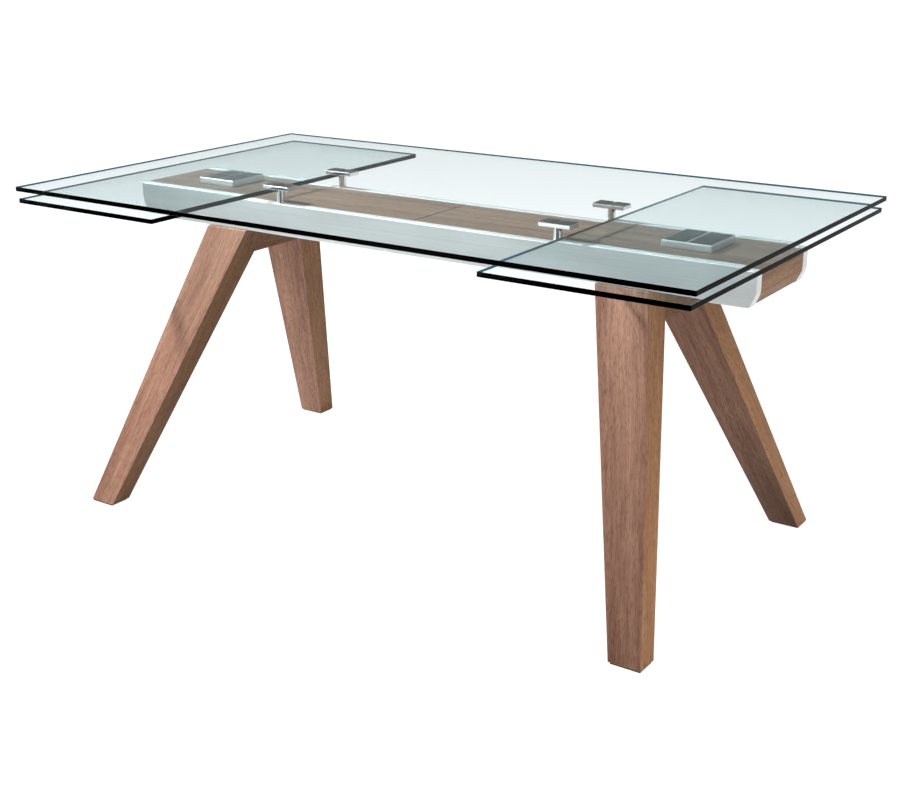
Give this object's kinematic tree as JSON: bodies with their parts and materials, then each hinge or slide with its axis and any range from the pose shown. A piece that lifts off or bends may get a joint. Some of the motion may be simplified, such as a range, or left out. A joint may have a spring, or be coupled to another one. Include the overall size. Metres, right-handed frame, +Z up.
{
  "type": "extendable dining table",
  "caption": "Rectangular glass-top dining table on splayed wooden legs; a glass leaf at each end slides out from under the top on a carriage between steel rails.",
  "frame": {"origin": "on the floor under the middle of the table", "axes": "+X along the length towards the right end, +Y across the table to the far side, +Z up"},
  "size_m": [1.64, 0.94, 0.75],
  "materials": {
    "clear_glass": "clear toughened float glass, polished edges",
    "brushed_steel": "brushed stainless steel, brushed along the length",
    "polished_steel": "polished steel",
    "plated_steel": "dull zinc-plated steel",
    "dark_pad": "matt dark pad",
    "foot_pad": "matt dark pad",
    "leg_walnut": "walnut, satin clear finish",
    "panel_walnut": "walnut, satin clear finish",
    "runner_wood": "dark sealed board"
  },
  "bodies": {
    "frame": {"centre_tie_plate": "plated_steel", "far_rail": "brushed_steel", "left_far_foot_pad": "foot_pad", "left_far_glass_support": "polished_steel", "left_far_leg": "leg_walnut", "left_far_slide_outer": "plated_steel", "left_far_support_pad_inner": "dark_pad", "left_far_support_pad_outer": "dark_pad", "left_leg_bridge": "leg_walnut", "left_near_foot_pad": "foot_pad", "left_near_glass_support": "polished_steel", "left_near_leg": "leg_walnut", "left_near_slide_outer": "plated_steel", "left_near_support_pad_inner": "dark_pad", "left_near_support_pad_outer": "dark_pad", "left_tie_plate": "plated_steel", "main_top_glass": "clear_glass", "near_rail": "brushed_steel", "right_far_foot_pad": "foot_pad", "right_far_glass_support": "polished_steel", "right_far_leg": "leg_walnut", "right_far_slide_outer": "plated_steel", "right_far_support_pad_inner": "dark_pad", "right_far_support_pad_outer": "dark_pad", "right_leg_bridge": "leg_walnut", "right_near_foot_pad": "foot_pad", "right_near_glass_support": "polished_steel", "right_near_leg": "leg_walnut", "right_near_slide_outer": "plated_steel", "right_near_support_pad_inner": "dark_pad", "right_near_support_pad_outer": "dark_pad", "right_tie_plate": "plated_steel"},
    "left_carriage": {"left_leaf_glass": "clear_glass", "left_leaf_block": "brushed_steel", "left_leaf_pad_inner": "dark_pad", "left_leaf_pad_outer": "dark_pad", "left_top_panel": "panel_walnut", "left_end_board": "panel_walnut", "left_near_runner_board": "runner_wood", "left_far_runner_board": "runner_wood", "left_back_cleat": "runner_wood", "left_near_slide_inner": "plated_steel", "left_far_slide_inner": "plated_steel"},
    "left_slide_middles": {"left_near_slide_middle": "plated_steel", "left_far_slide_middle": "plated_steel"},
    "right_carriage": {"right_leaf_glass": "clear_glass", "right_leaf_block": "brushed_steel", "right_leaf_pad_inner": "dark_pad", "right_leaf_pad_outer": "dark_pad", "right_top_panel": "panel_walnut", "right_end_board": "panel_walnut", "right_near_runner_board": "runner_wood", "right_far_runner_board": "runner_wood", "right_back_cleat": "runner_wood", "right_near_slide_inner": "plated_steel", "right_far_slide_inner": "plated_steel"},
    "right_slide_middles": {"right_near_slide_middle": "plated_steel", "right_far_slide_middle": "plated_steel"}
  },
  "joints": [
    {"name": "left_leaf_slide", "type": "slide", "parent": "frame", "child": "left_carriage", "axis": [-1, 0, 0], "range_m": [0, 0.42]},
    {"name": "right_leaf_slide", "type": "slide", "parent": "frame", "child": "right_carriage", "axis": [1, 0, 0], "range_m": [0, 0.42]},
    {"name": "left_middle_slide", "type": "slide", "parent": "frame", "child": "left_slide_middles", "axis": [-1, 0, 0], "range_m": [0, 0.21]},
    {"name": "right_middle_slide", "type": "slide", "parent": "frame", "child": "right_slide_middles", "axis": [1, 0, 0], "range_m": [0, 0.21]}
  ],
  "couplings": [
    {"joint": "left_middle_slide", "follows": "left_leaf_slide", "ratio": 0.5},
    {"joint": "right_middle_slide", "follows": "right_leaf_slide", "ratio": 0.5}
  ]
}
